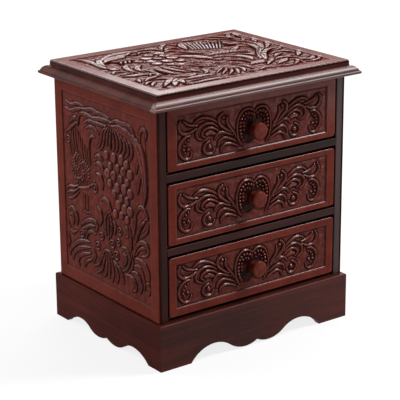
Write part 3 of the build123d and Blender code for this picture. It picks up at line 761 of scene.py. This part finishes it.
TOP_HOLLOWS = (
    [(-82, 44, 2.0), (-75, 46, 3.2), (-70, 40, 3.0), (-71, 31, 2.4)],
    [(-61, -13, 1.6), (-61, -28, 2.0)],
    [(-86, -40, 1.2), (-80, -40, 2.4), (-74, -43, 2.6)],
    [(-56, -65, 1.4), (-42, -65, 1.8), (-28, -65, 1.4)],
    [(-52, 41, 2.2), (-56, 38, 1.2)],
    [(-43, 60, 2.0), (-37, 57, 2.6)],
    [(-26, 69, 1.6), (-24, 65, 2.0)],
    [(-20, 60, 2.6)],
    [(-1, 37, 1.4), (7, 29, 2.0), (14, 19, 2.2), (18, 9, 1.6)],
    [(17, 76, 1.2), (20.5, 69, 1.6), (20, 60, 1.2)],
    [(66, 71, 1.6), (74, 66, 2.6), (80, 60, 2.6), (85, 51, 2.4)],
    [(97.5, 66, 1.4), (98, 57, 1.6)],
    [(62, 42, 1.6), (65, 35, 2.4), (71, 31, 1.8)],
    [(72, 23, 1.6), (77, 19, 2.2), (77.5, 10, 2.2), (74, 2, 1.4)],
    [(53, 0, 2.2), (60, -2, 2.8)],
    [(87, -10, 1.2), (79, -13, 2.2), (71, -19, 2.2), (66, -26, 1.2)],
    [(21, -19, 1.6), (28, -22, 2.8), (34, -30, 2.6), (34, -38, 1.6)],
    [(73, -35, 1.4), (81, -34, 1.8)],
    [(88, -40, 2.0)],
    [(93, -58, 1.4), (98, -55, 1.6)],
    [(13, -68, 3.0)],
    [(60, -66, 2.0)],
    [(75, -68, 2.4)],
    [(-70, -71, 2.0), (-65, -74, 1.6)],
    [(-92, -69, 2.0)],
    [(-12, -13, 2.2)],
    [(-18, -27, 2.2)],
    [(-23, -42, 2.0)],
    [(-12, -37, 2.4)],
    [(-9, -68, 2.0)],
)
TOP_GRAPES = (
    (-28, 47), (-14, 49), (-39, 37), (-16, 37), (-28, 31), (-53, 31), (-41, 24), (-15, 24), (-28, 17),
    (-42, 12), (-16, 10), (-34, 2), (-25, -4))
TOP_FLOWERS = ((-7, -4, 3.4), (8, -20, 3.6), (-4, -26, 3.4), (20, -31, 3.4), (-30, -17, 3.6))
TOP_BIRD_BODY = [(20, 10, 1.6), (30, 13, 3.8), (42, 12, 4.6), (54, 9, 3.6), (63, 5, 1.6)]
TOP_BIRD_HEAD = [(56, 16, 3.2), (63, 22, 3.6), (70, 27, 2.2)]


def top_picture(work):
    """The same vine, grapes and bird laid out across the wider top."""
    for points in TOP_HOLLOWS:
        work.sink(points, depth=0.5, stain=0.65)
    for k in range(10):
        u, v, reach = 25 + 2.9 * k, 43 - 1.3 * k, 1 + 0.14 * math.sin(2.3 * k)
        tip = (u + (9 + 1.1 * k) * reach, v + 27 * reach)
        plume = [(u, v, 0.8), (0.5 * (u + tip[0]), 0.5 * (v + tip[1]), 1.3), (*tip, 0.9)]
        work.stroke(plume, lift=1.7, vein=0, cut=0.7)
    work.stroke(TOP_BIRD_BODY, vein=0)
    scales(work, 40, 11, columns=7, rows=2, pitch=4.2, turn=-6)
    work.stroke(TOP_BIRD_HEAD, lift=1.6, vein=0)
    for points in TOP_LEAVES:
        work.stroke(points, vein=0.3)
    work.berry(-89.5, 18, radius=5.2)
    grapes(work, TOP_GRAPES, radius=5.6)
    for u, v, radius in TOP_FLOWERS:
        flower(work, u, v, radius)


LEFT_WAYS = ((0, -1, 0), (0, 0, 1))
RIGHT_WAYS = ((0, 1, 0), (0, 0, 1))
TOP_WAYS = ((1, 0, 0), (0, 1, 0))
SIDE_WORK = {"border": (13.0, 13.0, 13.0), "corner": 1.2, "sunk": 0.9, "relief": 0.75, "flat": 0.0,
             "antique": 0.5, "wax": 0.14, "rub": (0.1, 0.5, 0.0), "step": 0.65}
TOP_WORK = {"border": (13.0, 13.0, 13.0), "corner": 1.2, "sunk": 0.9, "relief": 0.8, "flat": 0.8,
            "antique": 0.9, "wax": 0.72, "rub": (0.1, 0.45, 0.0), "step": 0.72}
for name, ways, picture, leather, way_of_work in (
        ("left_leather", LEFT_WAYS, side_picture, side_leather, SIDE_WORK),
        ("right_leather", RIGHT_WAYS, side_picture, side_leather, SIDE_WORK),
        ("top_leather", TOP_WAYS, top_picture, top_leather, TOP_WORK)):
    work = Tooling(sheet_size(name, *ways), **way_of_work)
    picture(work)
    work.work_up()
    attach(sheet_for(name, work, *ways, leather), "case")


# Drawer boxes: stained fronts, plain sides, backs and bottoms.
# The sides are lapped into the front, the back is housed in the sides and the bottom slides in grooves.
stained_front = grained_wood("stained_front", ACROSS, CASE_STAIN, rough=0.42)
DRAWERS = ("bottom_drawer", "middle_drawer", "top_drawer")
for drawer in DRAWERS:
    dress(stained_front, drawer + "_front")
    dress(plain_deep, drawer + "_left_side", drawer + "_right_side")
    dress(plain_across, drawer + "_back", drawer + "_bottom")


# Drawer leathers: the same tooled leather glued on each front, with a beaded shell behind the knob
# and acanthus scrolls running out from it to both ends. Each was laid out by hand, a little off the middle.
drawer_leather = tooled_leather("tooled_drawer_leather", gloss=0.04, wax_rough=0.27)
FRONT_WAYS = ((1, 0, 0), (0, 0, 1))
HALF_SCROLLS = (
    [(-41.5, 6, 0.8), (-46.5, 11.6, 1.3), (-53, 15.6, 1.6),
     (-61, 18, 1.6), (-68, 17.4, 1.3), (-73, 14.4, 0.8)],
    [(-68, 11.5, 0.9), (-75, 12.6, 1.4), (-80.6, 14.6, 1.5), (-85, 18.2, 0.9)],
    [(-69, 9, 0.9), (-76, 6.4, 1.6), (-83, 5.4, 1.8),
     (-88.6, 8.6, 1.8), (-90.8, 14, 1.6), (-88.8, 18.8, 1.1)],
    [(-63, -3.6, 0.8), (-68.6, -0.6, 1.4), (-69.8, 4.6, 1.6), (-66, 9.4, 1.6),
     (-58.4, 11.8, 1.6), (-50.6, 10.4, 1.4), (-44.4, 6.2, 0.9)],
    [(-59.4, -2, 0.8), (-63.4, 1.2, 1.3), (-61.6, 5.2, 1.5),
     (-55.6, 7.2, 1.6), (-49, 5.6, 1.4), (-43, 1.8, 1.0)],
    [(-77, 3, 0.9), (-83, 2.4, 1.5), (-88.4, -1.6, 1.7), (-90.6, -8, 1.7),
     (-88.6, -14.6, 1.7), (-83.2, -19, 1.6), (-77.4, -18, 1.3), (-75.4, -13.6, 1.0)],
    [(-54.6, -6, 0.8), (-60, -8.6, 1.4), (-61.6, -13.4, 1.6),
     (-58, -17.8, 1.6), (-51.8, -18.2, 1.4), (-48.6, -14.6, 1.1)],
    [(-25, -5, 0.8), (-32, -2.4, 1.4), (-39, 0.2, 1.7), (-45, -0.6, 1.6), (-48.6, -4.6, 1.0)],
    [(-23, -11, 0.8), (-30, -7.6, 1.4), (-37, -5.8, 1.7), (-42.6, -8, 1.5), (-44.6, -12.6, 1.0)],
    [(-20, -16.6, 0.8), (-28, -13, 1.4), (-35, -12, 1.6), (-40, -14.6, 1.4), (-41, -18.6, 0.9)],
    [(-24, -4, 0.8), (-31, 0, 1.4), (-38, 4.4, 1.7), (-43, 9.6, 1.8), (-43.2, 15, 1.7), (-39, 18.6, 1.3)],
    [(-21.8, -9, 0.8), (-25.6, -2.4, 1.4), (-30.2, 3, 1.6), (-33.6, 8.6, 1.6), (-33.4, 13.8, 1.2)],
    [(-0.5, 14.4, 0.9), (-4, 17.2, 1.1), (-9, 18.2, 1.2), (-14.6, 16.6, 1.2), (-19, 11.6, 1.2),
     (-21.2, 4, 1.2), (-21.2, -5, 1.2), (-19.2, -12, 1.1), (-15.6, -17, 0.8)],
)
BUD = [(-58, 1.4, 2.2), (-53, 2.0, 2.6), (-47.6, -0.4, 1.8)]
BEAD_ROWS = (
    [(-3.6, 12.6, 1.6), (-9, 14, 1.7), (-13.8, 12.2, 1.7), (-16.7, 7.6, 1.7),
     (-17.5, 2, 1.7), (-17.2, -4, 1.6), (-15.6, -9.4, 1.5), (-12.6, -13.8, 1.3)],
    [(-5, 8.4, 1.1), (-9.6, 9.8, 1.2), (-12.6, 6.8, 1.2), (-13.4, 1.6, 1.2), (-13, -4, 1.1)],
    [(-79.4, -1, 1.2), (-84, -4.6, 1.4), (-85.2, -10, 1.4), (-82, -14.4, 1.2)],
)
BERRIES = ((-37.6, 14.4, 1.9), (-79.6, -9.8, 1.9), (-54.4, -12, 2.5), (-26.4, -4.6, 1.2))
# The hollow round the knob: its dark stain is partly antique stain, partly the knob's cast shadow painted in.
KNOB_HOLLOW_AND_SHADOW = [(-9, 7, 8.0), (-8, -6, 10.0)]
BORDERS = ((8.5, 8.0, 7.3), (9.6, 5.4, 5.2), (11.0, 5.6, 7.3))
HAND_SHIFTS = ((-1.5, 0.8), (0.0, -0.2), (0.6, -2.0))
LEFT_HALF, RIGHT_HALF = 1.0, -0.92
DRAWER_WORK = {"corner": 3.6, "sunk": 1.2, "relief": 1.0, "flat": 0.0,
               "antique": 0.82, "wax": 0.3, "rub": (0.1, 1.1, 0.55), "step": 0.5}


def laid(points, side, shift):
    """Points drawn for the left half, put where the hand laid that half or its mirror image."""
    return [(side * u + shift[0], v + shift[1], wide) for u, v, wide in points]


def drawer_picture(work, shift):
    """The shell and its scrolls, drawn out to the left and then, a little narrower, to the right."""
    for side in (LEFT_HALF, RIGHT_HALF):
        # The hollow round the knob is left dark on both halves: partly antique stain, partly painted shadow
        # of the knob.
        work.sink(laid(KNOB_HOLLOW_AND_SHADOW, side, shift), depth=0.5, stain=0.72)
        work.stroke(laid(BUD, side, shift), lift=1.0, vein=0)
        for points in HALF_SCROLLS:
            work.stroke(laid(points, side, shift), lift=2.0)
        for points in BEAD_ROWS:
            work.berries(laid(points, side, shift), spacing=3.7)
        for berry in laid(BERRIES, side, shift):
            work.berry(*berry)


for drawer, border, shift in zip(DRAWERS, BORDERS, HAND_SHIFTS):
    name = drawer + "_leather"
    work = Tooling(sheet_size(name, *FRONT_WAYS), border, **DRAWER_WORK)
    drawer_picture(work, shift)
    work.work_up()
    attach(sheet_for(name, work, *FRONT_WAYS, drawer_leather), drawer)


# Knobs: turned in one piece with a coved neck and a flat face, stained redder than the case,
# and held by a slotted screw driven from inside the drawer.
def turned_wood(name, centre):
    """Close-grained wood with faint lathe rings round the knob's own axis."""
    material, start = new_finish(name)
    place = start.node("TexCoord", {}, {}, "Object")
    own = start.node("Mapping", {}, {"Vector": place, "Location": [-c for c in centre]})
    flat = start.node("VectorMath", {"operation": "MULTIPLY"}, {0: own, 1: (1.0, 0.0, 1.0)})
    radius = start.node("VectorMath", {"operation": "LENGTH"}, {0: flat}, "Value")
    rings = start.node("Math", {"operation": "SINE"}, {0: radius * 3600.0})
    fibre = start.node("TexNoise", {}, {
        "Vector": start.node("Mapping", {}, {"Vector": own, "Scale": (700.0, 120.0, 260.0)}),
        "Scale": 1.0, "Detail": 4.0})
    cloud = start.node("TexNoise", {}, {"Vector": own, "Scale": 160.0, "Detail": 3.0})
    tone = fibre * 0.5 + cloud * 0.4 + rings * 0.05
    colour = start.node("ValToRGB", {
        "stops": [(0.3, (0.070, 0.011, 0.0072)), (0.62, (0.190, 0.033, 0.021))]}, {"Fac": tone})
    ridge = start.node("Bump", {}, {"Strength": 0.25, "Distance": 0.0002, "Height": rings * 0.5 + fibre})
    close_finish(start, {
        "Base Color": colour, "Roughness": 0.30 + fibre * 0.14, "Specular IOR Level": 0.06, "Normal": ridge})
    return material


KNOB_PROFILE = (
    (0.0, -0.9), (6.2, -0.9), (6.2, 1.6), (6.25, 3.2), (6.6, 4.6), (7.3, 5.9), (8.0, 7.0), (8.4, 7.9),
    (8.5, 8.9), (8.4, 10.0), (8.0, 10.8), (7.3, 11.3), (6.2, 11.5), (4.0, 11.42), (2.0, 11.36), (0.0, 11.34))
for drawer in DRAWERS:
    low, high = (Vector(corner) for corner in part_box(drawer + "_knob"))
    axis = Vector(((low.x + high.x) / 2, high.y, (low.z + high.z) / 2))
    bm = bmesh.new()
    line = [bm.verts.new((radius / PER_METRE, -reach / PER_METRE, 0)) for radius, reach in KNOB_PROFILE]
    edges = [bm.edges.new(pair) for pair in zip(line, line[1:])]
    bmesh.ops.spin(bm, geom=line + edges, axis=(0, 1, 0), cent=(0, 0, 0), angle=2 * math.pi,
                   steps=72, use_merge=True)
    bmesh.ops.remove_doubles(bm, verts=bm.verts, dist=1e-6)
    bmesh.ops.recalc_face_normals(bm, faces=bm.faces)
    bmesh.ops.translate(bm, vec=axis, verts=bm.verts)
    knob = mesh_piece(drawer + "_turned_knob", bm)
    knob.data.materials.append(turned_wood(drawer + "_knob_wood", axis))
    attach(knob, drawer)
    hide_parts(drawer + "_knob")
    dress(steel, drawer + "_knob_screw")


# Drawer linings: pressed wool felt, cut to the inside of each drawer and laid on its bottom.
# The sheet ripples a little, and its cut edges are rounded down.
def wool_felt(name):
    """Deep red felt with a short nap, worn lighter in places."""
    material, start = new_finish(name)
    place = start.node("TexCoord", {}, {}, "Object")
    nap = start.node("TexNoise", {}, {
        "Vector": place, "Scale": 1400.0, "Detail": 5.0, "Roughness": 0.7, "Distortion": 1.5})
    wear = start.node("TexNoise", {}, {"Vector": place, "Scale": 30.0, "Detail": 3.0})
    tone = nap * 0.65 + wear * 0.35
    colour = start.node("ValToRGB", {
        "stops": [(0.3, (0.028, 0.004, 0.005)), (0.68, (0.12, 0.016, 0.019))]}, {"Fac": tone})
    fluff = start.node("Bump", {}, {"Strength": 0.7, "Distance": 0.0004, "Height": nap})
    close_finish(start, {
        "Base Color": colour, "Roughness": 0.86 + nap * 0.12, "Specular IOR Level": 0.15,
        "Sheen Weight": 0.35, "Sheen Roughness": 0.5, "Normal": fluff})
    return material


FELT_RIPPLE, FELT_EDGE, EDGE_SHARE = 0.0002, 0.0004, 0.012
felt = wool_felt("wool_felt")
for drawer in DRAWERS:
    low, high = (Vector(corner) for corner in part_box(drawer + "_lining"))
    bm = bmesh.new()
    bmesh.ops.create_grid(bm, x_segments=96, y_segments=76, size=0.5)
    for vert in bm.verts:
        x, y = vert.co.x, vert.co.y
        ripple = 0.5 + 0.25 * (math.sin(x * 21) * math.cos(y * 17) + math.sin(x * 47 + y * 31))
        edge = min(0.5 - abs(x), 0.5 - abs(y))
        vert.co.z = high.z - FELT_RIPPLE * ripple - FELT_EDGE * max(0.0, 1 - edge / EDGE_SHARE) ** 2
        vert.co.x = (low.x + high.x) / 2 + x * (high.x - low.x)
        vert.co.y = (low.y + high.y) / 2 + y * (high.y - low.y)
    close_back(bm, low.z)
    lining = mesh_piece(drawer + "_felt", bm)
    lining.data.materials.append(felt)
    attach(lining, drawer)
    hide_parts(drawer + "_lining")


# Studio: a wide white floor, an even surround and a camera in front on the left. The lamps are a key above
# on the right, a wide fill behind on the left, a low card on the right, a strip overhead for the moulding
# and a wide panel behind that the waxed top mirrors.
FLOOR_REACH, FLOOR_DROP = 9.0, 0.0003
bm = bmesh.new()
bmesh.ops.create_grid(bm, x_segments=1, y_segments=1, size=FLOOR_REACH)
bmesh.ops.translate(bm, vec=(0, 0, -FLOOR_DROP), verts=bm.verts)
floor = mesh_piece("floor", bm)
paper, start = new_finish("floor_paper")
direct, mirrored, through = (start.node("LightPath", {}, {}, f"Is {kind} Ray")
                             for kind in ("Camera", "Glossy", "Transmission"))
seen = direct + mirrored + through
tone = start.node("ValToRGB", {
    "stops": [(0.0, (0.55, 0.55, 0.55)), (1.0, (0.95, 0.95, 0.95))]}, {"Fac": seen})
start.node("OutputMaterial", {}, {"Surface": start.node("MixShader", {}, {
    0: seen * 0.82,
    1: start.node("BsdfDiffuse", {}, {"Color": tone}),
    2: start.node("Emission", {}, {"Color": (1, 1, 1, 1), "Strength": 1.0})})})
floor.data.materials.append(paper)

world = bpy.data.worlds.new("studio")
bpy.context.scene.world = world
world.use_nodes = True
world.node_tree.nodes.clear()
start = Wire(world.node_tree)
start.node("OutputWorld", {}, {
    "Surface": start.node("Background", {}, {"Color": (1, 1, 1, 1), "Strength": 0.30})})


def soft_lamp(name, place, aim, size, power):
    lamp = bpy.data.lights.new(name, "AREA")
    lamp.shape = "RECTANGLE"
    lamp.size, lamp.size_y = size
    lamp.energy = power
    holder = bpy.data.objects.new(name, lamp)
    holder.location = place
    holder.rotation_euler = (Vector(place) - Vector(aim)).to_track_quat("Z", "Y").to_euler()
    holder.visible_camera = False
    bpy.context.collection.objects.link(holder)


MIDDLE, DRAWER_FRONTS, TOP_FACE = (0, 0, 0.14), (0, 0, 0.16), (0, 0, 0.27)
soft_lamp("key", place=(1.15, -0.65, 1.65), aim=MIDDLE, size=(0.45, 1.0), power=40.0)
soft_lamp("fill", place=(-0.70, 0.74, 0.58), aim=MIDDLE, size=(1.20, 0.95), power=10.4)
soft_lamp("card", place=(0.62, -0.70, 0.032), aim=DRAWER_FRONTS, size=(0.45, 0.06), power=0.65)
soft_lamp("strip", place=(1.05, 0.36, 1.70), aim=TOP_FACE, size=(0.5, 0.3), power=5.0)
soft_lamp("sheen", place=(1.35, 1.80, 1.345), aim=TOP_FACE, size=(1.8, 1.0), power=28.0)

camera = bpy.data.cameras.new("camera")
camera.sensor_width = 36.0
camera.lens = 141.4536
viewer = bpy.data.objects.new("camera", camera)
STAND = (-0.91587, -1.22917, 0.62880)
AZIMUTH, ELEVATION, ROLL = -36.6899, 18.1303, -0.4021
pose = Matrix.Translation(STAND)
for angle, axis in ((AZIMUTH, "Z"), (90 - ELEVATION, "X"), (ROLL, "Z")):
    pose = pose @ Matrix.Rotation(math.radians(angle), 4, axis)
viewer.matrix_world = pose
bpy.context.collection.objects.link(viewer)
bpy.context.scene.camera = viewer
bpy.context.scene.view_settings.view_transform = "Standard"
